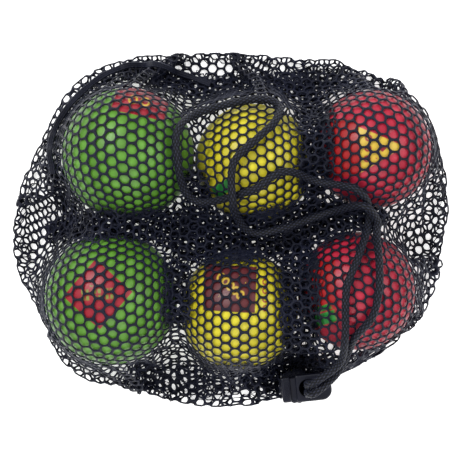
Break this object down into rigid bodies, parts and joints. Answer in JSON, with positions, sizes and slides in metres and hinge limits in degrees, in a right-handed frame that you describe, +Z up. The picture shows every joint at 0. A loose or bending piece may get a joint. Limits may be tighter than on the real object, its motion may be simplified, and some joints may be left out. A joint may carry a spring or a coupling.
{
  "type": "mesh ball bag",
  "caption": "Fine mesh drawstring bag lying flat with balls in a single layer, its mouth gathered under a push-button cord lock and the long drawcord looped over the top.",
  "frame": {"origin": "middle of the bag's footprint, on the floor it lies on", "axes": "+X along the bag's longer side, +Y away from the drawn mouth, +Z up from the floor"},
  "size_m": [0.2476, 0.2014, 0.0748],
  "materials": {
    "net": "navy-black knitted polyester net with small rounded hexagonal holes, dull",
    "tape": "navy-black folded and stitched net, dull",
    "cord": "black round braided cord with a slight nylon sheen",
    "lock": "satin navy-black moulded plastic",
    "spring": "bright spring wire",
    "ball_green": "satin green rubber with a plain red patch",
    "ball_yellow": "satin yellow rubber with a plain dark red patch",
    "ball_red": "satin crimson rubber with a plain yellow patch"
  },
  "bodies": {
    "bag": {"net_lower": "net", "net_upper": "net", "end_seam": "tape", "gathered_neck": "net", "mouth_hem": "tape", "drawcord_in_hem": "cord", "drawcord_loop": "cord"},
    "cord_lock": {"lock_barrel": "lock", "lock_spring": "spring"},
    "lock_button": {"lock_plunger": "lock"},
    "green_ball_1": {"ball_green_1": "ball_green"},
    "green_ball_2": {"ball_green_2": "ball_green"},
    "yellow_ball_1": {"ball_yellow_1": "ball_yellow"},
    "yellow_ball_2": {"ball_yellow_2": "ball_yellow"},
    "red_ball_1": {"ball_red_1": "ball_red"},
    "red_ball_2": {"ball_red_2": "ball_red"}
  },
  "joints": [
    {"name": "lock_slide", "type": "slide", "parent": "bag", "child": "cord_lock", "axis": [0, 0, 1], "range_m": [0, 0.005]},
    {"name": "button_press", "type": "slide", "parent": "cord_lock", "child": "lock_button", "axis": [0.9945, 0.1045, 0], "range_m": [0, 0.0026], "stiffness_N_per_m": 900, "springref_m": -0.002, "deforming": ["lock_spring"]},
    {"name": "green_ball_1_turn", "type": "hinge", "parent": "bag", "child": "green_ball_1", "pos_m": [-0.0551, 0.041, 0.0371], "axis": [0, 0, 1], "continuous": true},
    {"name": "green_ball_2_turn", "type": "hinge", "parent": "bag", "child": "green_ball_2", "pos_m": [-0.0642, -0.0375, 0.0371], "axis": [0, 0, 1], "continuous": true},
    {"name": "yellow_ball_1_turn", "type": "hinge", "parent": "bag", "child": "yellow_ball_1", "pos_m": [0.0137, 0.0364, 0.03335], "axis": [0, 0, 1], "continuous": true},
    {"name": "yellow_ball_2_turn", "type": "hinge", "parent": "bag", "child": "yellow_ball_2", "pos_m": [0.0056, -0.044, 0.03335], "axis": [0, 0, 1], "continuous": true},
    {"name": "red_ball_1_turn", "type": "hinge", "parent": "bag", "child": "red_ball_1", "pos_m": [0.0785, 0.0439, 0.03335], "axis": [0, 0, 1], "continuous": true},
    {"name": "red_ball_2_turn", "type": "hinge", "parent": "bag", "child": "red_ball_2", "pos_m": [0.0698, -0.0335, 0.03335], "axis": [0, 0, 1], "continuous": true}
  ]
}
